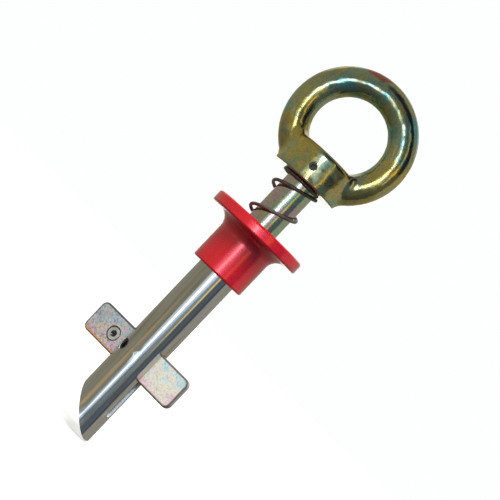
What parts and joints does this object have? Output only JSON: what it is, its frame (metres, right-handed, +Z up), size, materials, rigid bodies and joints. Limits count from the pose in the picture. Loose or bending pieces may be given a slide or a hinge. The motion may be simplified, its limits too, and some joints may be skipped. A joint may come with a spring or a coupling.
{
  "type": "roof anchor",
  "caption": "Reusable drop-in roof anchor: lifting eye on a sprung plunger that swings a toggle bar out through the slots of a bevelled sleeve under a red stop collar.",
  "frame": {"origin": "on the sleeve's axis at the collar's lower face, which bears on the roof", "axes": "+Z up the sleeve towards the lifting eye; the eye ring lies in the XZ plane and its set screw faces -Y"},
  "size_m": [0.063, 0.0496, 0.2102],
  "materials": {
    "sleeve_steel": "bright polished steel with faint warm tints",
    "collar_red": "red anodised, satin gloss",
    "small_steel": "dark zinc-plated steel",
    "eye_zinc": "glossy yellow-iridescent zinc plating",
    "rod_zinc": "shiny zinc plating with a yellow tint",
    "bar_zinc": "fine sparkling passivated zinc",
    "spring_steel": "dark oiled spring wire"
  },
  "bodies": {
    "sleeve": {"outer_tube": "sleeve_steel", "collar": "collar_red", "collar_grub_screw": "small_steel", "pivot_pin": "sleeve_steel", "guide_screw": "small_steel", "return_spring": "spring_steel"},
    "plunger": {"eye_nut": "eye_zinc", "eye_set_screw": "small_steel", "plunger_rod": "rod_zinc", "drive_pin": "small_steel"},
    "toggle": {"toggle_bar": "bar_zinc", "toggle_screw": "small_steel"}
  },
  "joints": [
    {"name": "plunger_slide", "type": "slide", "parent": "sleeve", "child": "plunger", "axis": [0, 0, -1], "range_m": [0, 0.01], "stiffness_N_per_m": 2700, "springref_m": -0.0176, "deforming": ["return_spring"]},
    {"name": "toggle_swing", "type": "hinge", "parent": "sleeve", "child": "toggle", "pos_m": [0, 0, -0.05035], "axis": [0.3746, 0.9272, 0], "range_deg": [0, 90]}
  ],
  "couplings": [
    {"joint": "toggle_swing", "follows": "plunger_slide", "rad_per_m": 157.08}
  ]
}
